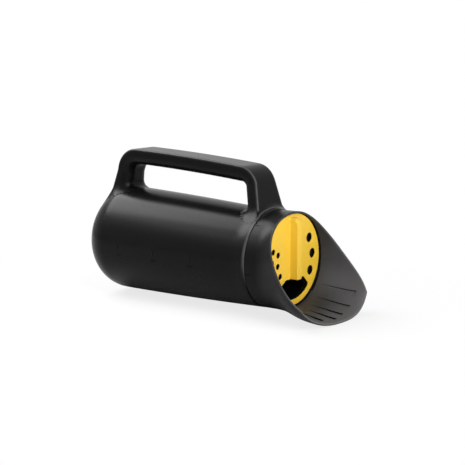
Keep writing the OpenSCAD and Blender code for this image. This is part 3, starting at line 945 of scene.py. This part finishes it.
# %% Finish of the dial
def yellow_plastic():
    finish = Finish("dial_yellow", Specular_IOR_Level=0.45)
    wide = finish.noise(45.0)
    fine = finish.noise(900.0)
    finish.bump(fine, 0.00003, 0.3)
    colour = finish.mix(wide, (0.86, 0.530, 0.030), (0.89, 0.575, 0.045))
    return finish.surface(Base_Color=colour, Roughness=0.36 + wide * 0.06)


dial_plastic = yellow_plastic()
print("dial finish:", dial_plastic.name)

# %% [markdown]
# ## Hidden pieces
#
# The outlet plate, the seal, the screw and its washer sit inside the head. They keep their
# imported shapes, and get finishes of their own, as they would show with the head pulled off.

# %% Finishes of the hidden pieces
def seal_rubber():
    finish = Finish("seal_rubber", Specular_IOR_Level=0.3)
    fine = finish.noise(700.0, 3.0, 0.6)
    finish.bump(fine, 0.00008, 0.5)
    colour = finish.mix(fine, (0.035, 0.035, 0.038), (0.060, 0.060, 0.065))
    return finish.surface(Base_Color=colour, Roughness=0.62 + fine * 0.15)


def plated_steel():
    finish = Finish("plated_steel", Metallic=1.0)
    streaks = finish.noise(1300.0, 4.0, 0.65)
    wide = finish.noise(200.0)
    finish.bump(streaks, 0.00003, 0.4)
    colour = finish.mix(wide, (0.58, 0.58, 0.60), (0.72, 0.71, 0.70))
    return finish.surface(Base_Color=colour, Roughness=0.24 + streaks * 0.16)


plate_plastic = black_plastic("satin_black_plate", 0.40, painted_edges=False)
node_finishes = {"outlet_plate": plate_plastic, "neck_seal": seal_rubber(),
                 "dial_screw": plated_steel(), "spring_washer": plated_steel()}
for name, material in node_finishes.items():
    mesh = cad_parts[name].data
    mesh.materials.clear()
    mesh.materials.append(material)
print("hidden pieces:", sorted(node_finishes))

# %% [markdown]
# ## Rows of small marks
#
# The container carries a level scale: a raised tick and a plain number for every 45 mm of
# seed. The collar has narrow slits on both sides, which free the tongues that snap over the
# neck. Both are rows of one small shape on a round wall. A Geometry Nodes tree makes such a
# row: a line of points is wrapped onto the wall by its formula, and each point gets a copy of
# the shape that stands square to the wall.

# %% Tree for a row on a round wall
def add_input(tree, name, kind):
    kind = "NodeSocket" + kind
    return tree.interface.new_socket(name=name, in_out="INPUT", socket_type=kind).identifier


def wall_row_tree():
    """Copies of a lens-shaped mark or a bar on a wall of revolution; sizes in metres."""
    tree = bpy.data.node_groups.new("wall_row", "GeometryNodeTree")
    kinds = {"Count": "Int", "Bars": "Bool"}
    for name in ("First X", "Step X", "First Turn", "Step Turn", "Rear Radius", "Front Radius",
                 "Belly", "Wall Length", "Pitch", "Drop"):
        kinds[name] = "Float"
    kinds.update({"Size": "Vector", "Finish": "Material"})
    keys = {name: add_input(tree, name, kind) for name, kind in kinds.items()}
    tree.interface.new_socket(name="Geometry", in_out="OUTPUT", socket_type="NodeSocketGeometry")

    def node(kind, settings=None, **inputs):
        return add_node(tree, kind, settings, **inputs)

    given = node("NodeGroupInput").outputs
    size = {name: Value(given[name]) for name in kinds}
    index = Value(node("GeometryNodeInputIndex").outputs[0])
    x = size["First X"] + index * size["Step X"]
    turn = size["First Turn"] + index * size["Step Turn"]
    share = x.sum("DIVIDE", x, size["Wall Length"])
    radius = (size["Rear Radius"] + (size["Front Radius"] - size["Rear Radius"]) * share
              + size["Belly"] * 4.0 * share * (1.0 - share))
    height = radius * turn.sum("SINE", turn)
    back = size["Wall Length"] - x
    sine, cosine = turn.sum("SINE", size["Pitch"]), turn.sum("COSINE", size["Pitch"])
    place = node("ShaderNodeCombineXYZ", X=size["Wall Length"] - back * cosine + height * sine,
                 Y=0.0 - radius * turn.sum("COSINE", turn),
                 Z=back * sine + height * cosine - size["Drop"])
    stand = node("ShaderNodeCombineXYZ", X=math.pi / 2 - turn)
    line = node("GeometryNodeMeshLine", Count=size["Count"])
    points = node("GeometryNodeSetPosition", Geometry=Value(line.outputs["Mesh"]),
                  Position=Value(place.outputs["Vector"]))
    ball = node("GeometryNodeMeshIcoSphere", Radius=1.0, Subdivisions=4)
    block = node("GeometryNodeMeshCube", Size=(2.0, 2.0, 2.0))
    shape = node("GeometryNodeSwitch", {"input_type": "GEOMETRY"}, Switch=size["Bars"],
                 False_=Value(ball.outputs["Mesh"]), True_=Value(block.outputs["Mesh"]))
    copies = node("GeometryNodeInstanceOnPoints", Points=Value(points.outputs["Geometry"]),
                  Instance=Value(shape.outputs["Output"]), Rotation=Value(stand.outputs["Vector"]),
                  Scale=size["Size"])
    real = node("GeometryNodeRealizeInstances", Geometry=Value(copies.outputs["Instances"]))
    finished = node("GeometryNodeSetMaterial", Geometry=Value(real.outputs["Geometry"]),
                    Material=size["Finish"])
    end = node("NodeGroupOutput")
    tree.links.new(finished.outputs["Geometry"], end.inputs["Geometry"])
    return tree, keys


row_tree, row_keys = wall_row_tree()
print("row tree:", len(row_tree.nodes), "nodes")

# %% [markdown]
# ## From the tree to a mesh
#
# A modifier runs the tree, its inputs are set by their identifiers, and the result is kept as
# a plain mesh. The ticks stay a piece of their own; the slits are bars cut out of the head.

# %% Make a row as a plain mesh
def wall_row(name, **values):
    """Runs the tree with the given inputs and keeps the result as a mesh."""
    piece = add_object(name, bpy.data.meshes.new(name))
    step = piece.modifiers.new("row", "NODES")
    step.node_group = row_tree
    for key, value in values.items():
        step[row_keys[key.replace("_", " ")]] = value
    apply_modifiers(piece)
    face_outwards(piece)
    smooth(piece, 40.0)
    print(name, "faces:", len(piece.data.polygons))
    return piece


TICK_FIRST, TICK_STEP, TICKS = 51.0, 45.0, 3
TICK_HALF = (0.7 * MM, 3.2 * MM, 0.55 * MM)
SLIT_BACK = 3.0
SLIT_HALF = (4.0 * MM, 0.3 * MM, 0.7 * MM)
SLIT_FIRST, SLIT_STEP = (-10.3, 131.0), 59.3
ticks = wall_row("level_ticks", Count=TICKS, Bars=False, First_X=TICK_FIRST * MM,
                 Step_X=TICK_STEP * MM, First_Turn=math.radians(-0.5),
                 Step_Turn=math.radians(-1.0), Rear_Radius=BASE_D / 2 * MM,
                 Front_Radius=SEAM_D / 2 * MM, Belly=BELLY * MM, Wall_Length=CONTAINER_L * MM,
                 Pitch=PITCH, Drop=SEAM_DROP * MM, Size=TICK_HALF, Finish=container_plastic)
for start in SLIT_FIRST:
    slits = wall_row("slits", Count=2, Bars=True, First_X=(CONTAINER_L + SLIT_BACK) * MM,
                     Step_X=0.0, First_Turn=math.radians(start),
                     Step_Turn=math.radians(SLIT_STEP), Rear_Radius=COLLAR_R * MM,
                     Front_Radius=COLLAR_R * MM, Belly=0.0, Wall_Length=CONTAINER_L * MM,
                     Pitch=0.0, Drop=COLLAR_DROP * MM, Size=SLIT_HALF, Finish=head_plastic)
    combine(head, slits, "DIFFERENCE")
smooth(head, 32.0)

# %% [markdown]
# ## Numbers of the level scale
#
# The numbers are plain text with a little thickness. Each point of the text is bent onto the
# wall: its height in the letter runs along the container, which stands on its base when it
# is filled, and its breadth runs round the wall.

# %% Number the ticks
NUMBER_CAP, NUMBER_RISE, NUMBER_EXTRUDE = 5.5, 0.4, 0.5
NUMBER_TURN = -10.5
CAP_SHARE = 0.7


def wall_number(text, x):
    """Points and faces of a number that stands out from the wall."""
    words = bpy.data.curves.new("number", "FONT")
    words.body = text
    words.size = NUMBER_CAP / CAP_SHARE
    words.extrude = NUMBER_EXTRUDE
    words.resolution_u = 6
    words.align_x, words.align_y = "CENTER", "CENTER"
    holder = add_object("number", words)
    mesh = as_mesh(holder)
    points = []
    for across, up, out in (v.co for v in mesh.vertices):
        turn = math.radians(NUMBER_TURN) - across / wall_r(x)
        r = wall_r(x + up) + NUMBER_RISE - NUMBER_EXTRUDE + out
        points.append(to_body(x + up, -r * math.cos(turn), r * math.sin(turn)))
    bpy.data.objects.remove(holder)
    return points, [tuple(face.vertices) for face in mesh.polygons]


number_points, number_faces = [], []
for i in range(TICKS):
    points, faces = wall_number(str(i + 1), TICK_FIRST + TICK_STEP * i)
    number_faces += [tuple(v + len(number_points) for v in face) for face in faces]
    number_points += points
numbers = make_piece("level_numbers", number_points, number_faces, 30.0)
print("numbers:", TICKS)

# %% [markdown]
# ## Painted edge highlights
#
# The thin bright lines on the rounded outer edges are painted: a paler colour stands in for
# the lamps' reflection there. A number on each point of the mesh, called an attribute, says
# how near it is to such an edge: the two outer edges of the handle, the container's front rim
# and the scoop's lip.

# %% Paint the edge highlights
def paint_edge_highlight(piece, share):
    """Stores the share of painted highlight, from 0 to 1, on each point."""
    points = np.empty(len(piece.data.vertices) * 3)
    piece.data.vertices.foreach_get("co", points)
    values = np.clip(share(points.reshape(-1, 3) / MM), 0, 1).astype(np.float32)
    piece.data.attributes.new("edge", "FLOAT", "POINT").data.foreach_set("value", values)
    print(piece.name, "rubbed points:", int((values > 0.3).sum()))


def near_lines(points, lines, reach):
    """1 on the lines, falling to almost 0 at twice the reach."""
    best = np.full(len(points), 1e9)
    for line in lines:
        for part in np.array_split(np.arange(len(points)), 40):
            gaps = points[part][:, None, :] - line[None]
            best[part] = np.minimum(best[part], np.sqrt((gaps ** 2).sum(-1)).min(1))
    return np.exp(-(best / reach) ** 2)


EDGE_IN = OUTER_EDGE * 0.3
EDGE_LOW = 46
EDGE_REACH, LIP_REACH, LIP_HIGHLIGHT = 0.9, 1.0, 0.55
RIM_MIDDLE, RIM_HIGHLIGHT_SPREAD = 0.25, 0.55
RIM_LOW, RIM_FADE, RIM_INNER_R = -26, 24, 44


def outer_edge(side):
    """The middle of one outer edge of the handle, down to where the fillets begin."""
    line = []
    for point, way in zip(path, ways):
        out = HANDLE_T / 2 - EDGE_IN
        line.append((point[0] - way[1] * out, side * (leg_half_w(point[1]) - EDGE_IN),
                     point[1] + way[0] * out))
    line = np.array(line)
    fine = np.linspace(0, len(line) - 1, 4 * len(line))
    line = np.stack([np.interp(fine, np.arange(len(line)), line[:, k]) for k in range(3)], 1)
    return line[line[:, 2] > EDGE_LOW]


def container_highlight_share(points):
    x, y, z = points.T
    on_rim = np.exp(-((x - CONTAINER_L + RIM_MIDDLE) / RIM_HIGHLIGHT_SPREAD) ** 2)
    on_rim *= np.clip((z - RIM_LOW) / RIM_FADE, 0, 1) * (np.hypot(y, z) > RIM_INNER_R)
    return np.maximum(on_rim, near_lines(points, [outer_edge(-1), outer_edge(1)], EDGE_REACH))


def head_highlight_share(points):
    return near_lines(points, [rim_points], LIP_REACH) * LIP_HIGHLIGHT


# Painted highlight: these shares turn the black plastic pale grey along the edges.
paint_edge_highlight(body, container_highlight_share)
paint_edge_highlight(head, head_highlight_share)

# %% [markdown]
# ## Finishes and bodies
#
# Each piece gets its finish, rides on the body that carries it, and stands for the packed
# node whose place it takes. On the head, the faces in front of the dial that look inwards get
# the finish with painted light. Ticks and numbers are new, so they stand for no node.

# %% Dress the shells and tie them to the bodies
for piece, material, node, body_name, slot in (
        (body, container_plastic, "container", "housing", "black_plastic"),
        (head, head_plastic, "scoop_head", "housing", "black_plastic"),
        (dial, dial_plastic, "dial", "dial", "yellow_plastic"),
        (ticks, container_plastic, None, "housing", "black_plastic"),
        (numbers, container_plastic, None, "housing", "black_plastic")):
    piece.data.materials.clear()
    piece.data.materials.append(material)
    if piece is head:
        piece.data.materials.append(scoop_plastic)
        for face in piece.data.polygons:
            centre, normal = face.center, face.normal
            inward = normal.y * centre.y + normal.z * centre.z < 0
            face.material_index = int(inward and centre.x > (DIAL_X + 0.5) * MM)
    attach(piece, body_name)
    if node:
        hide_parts(node)
print("pieces:", [p.name for p in (body, head, dial, ticks, numbers)])

# %% [markdown]
# ## Floor and background
#
# The sower lies on a plain pale floor, a matt surface that takes the shadow. For the camera
# it is mixed with plain white: mostly close to the sower, so that a faint shadow is left, and
# wholly further out, so that there is no horizon. The world is white for the camera, and for
# glossy and transmission rays too. The black plastics mirror only little of it, or they would
# look grey.

# %% Floor
FLOOR_HALF = 6.0
FLOOR_GAP = 0.0002
FADE_MIDDLE_X, FADE_START, FADE_END = 0.14, 0.12, 0.36
NEAR_WHITE = 0.78
AMBIENT = 0.15
level = cad_box[0][2] - FLOOR_GAP
floor_mesh = bpy.data.meshes.new("floor")
corners = [(x * FLOOR_HALF, y * FLOOR_HALF, level) for x, y in ((-1, -1), (1, -1), (1, 1), (-1, 1))]
floor_mesh.from_pydata(corners, [], [(0, 1, 2, 3)])
floor = add_object("floor", floor_mesh)

pale = Finish("pale_floor", Roughness=0.9, Specular_IOR_Level=0.1)
floor_colour = pale.mix(pale.noise(6.0), (0.80, 0.80, 0.80), (0.82, 0.82, 0.82))
floor_mesh.materials.append(pale.surface(Base_Color=floor_colour))
middle = pale.node("VectorMath", {"operation": "DISTANCE"}, Vector=pale.place)
middle.inputs[1].default_value = (FADE_MIDDLE_X, 0.0, level)
fade = pale.node("MapRange", {"interpolation_type": "SMOOTHSTEP"},
                         Value=Value(middle.outputs["Value"]), From_Min=FADE_START,
                         From_Max=FADE_END, To_Min=NEAR_WHITE, To_Max=1.0)
camera_sees = Value(pale.node("LightPath").outputs["Is Camera Ray"])
white = pale.node("Emission", Strength=1.0)
cover = pale.node("MixShader", Fac=Value(fade.outputs["Result"]) * camera_sees)
end = pale.tree.nodes["Material Output"]
for shader, place in ((pale.shader.outputs["BSDF"], cover.inputs[1]),
                      (white.outputs["Emission"], cover.inputs[2]),
                      (cover.outputs["Shader"], end.inputs["Surface"])):
    pale.tree.links.new(shader, place)
print("floor at", round(level, 5), "m")

# %% World
world = bpy.data.worlds.new("studio")
bpy.context.scene.world = world
world.use_nodes = True
background = world.node_tree.nodes["Background"]
rays = add_node(world.node_tree, "ShaderNodeLightPath").outputs
mirrored = Value(rays["Is Glossy Ray"]) + Value(rays["Is Transmission Ray"])
strength = AMBIENT + (Value(rays["Is Camera Ray"]) + mirrored) * (1.0 - AMBIENT)
feed(world.node_tree, background.inputs["Strength"], strength)
background.inputs["Color"].default_value = (1.0, 1.0, 1.0, 1.0)
print("world:", AMBIENT, "for diffuse rays, 1.0 for camera, glossy and transmission rays")

# %% [markdown]
# ## Studio light
#
# One large soft box hangs above and behind the sower. It draws the long highlight along the
# container, and the handle cuts off its upper edge. Two weaker ones on the camera's side let
# the highlight fade out downwards. A tall one in front lights the dial and the scoop, and
# draws the thin bright lines on the rounded edges. The black plastics mirror little, so the
# boxes are strong.

# %% Lamps
LAMP_DISTANCE = 1.3


def soft_box(name, towards, size_x, size_y, radiance, aim_x):
    """An area lamp in a direction from the aim, as bright as its radiance where mirrored."""
    lamp = bpy.data.lights.new(name, "AREA")
    lamp.shape = "RECTANGLE"
    lamp.size, lamp.size_y = size_x, size_y
    lamp.energy = radiance * math.pi * size_x * size_y
    holder = add_object(name, lamp)
    direction = Vector(towards).normalized()
    place = Matrix.Translation(Vector((aim_x, 0.0, 0.0)) + direction * LAMP_DISTANCE)
    holder.matrix_world = place @ direction.to_track_quat("Z", "Y").to_matrix().to_4x4()
    print(name, "radiance", radiance)


soft_box("overhead_box", (-0.62, -0.04, 0.78), 0.95, 0.70, 8.0, 0.12)
soft_box("overhead_fade_upper", (-0.61, -0.36, 0.70), 0.95, 0.40, 3.0, 0.12)
soft_box("overhead_fade_lower", (-0.60, -0.56, 0.54), 0.95, 0.42, 0.95, 0.12)
soft_box("front_box", (0.78, -0.34, 0.52), 0.9, 1.1, 4.9, 0.22)
bpy.context.scene.view_settings.view_transform = "Standard"
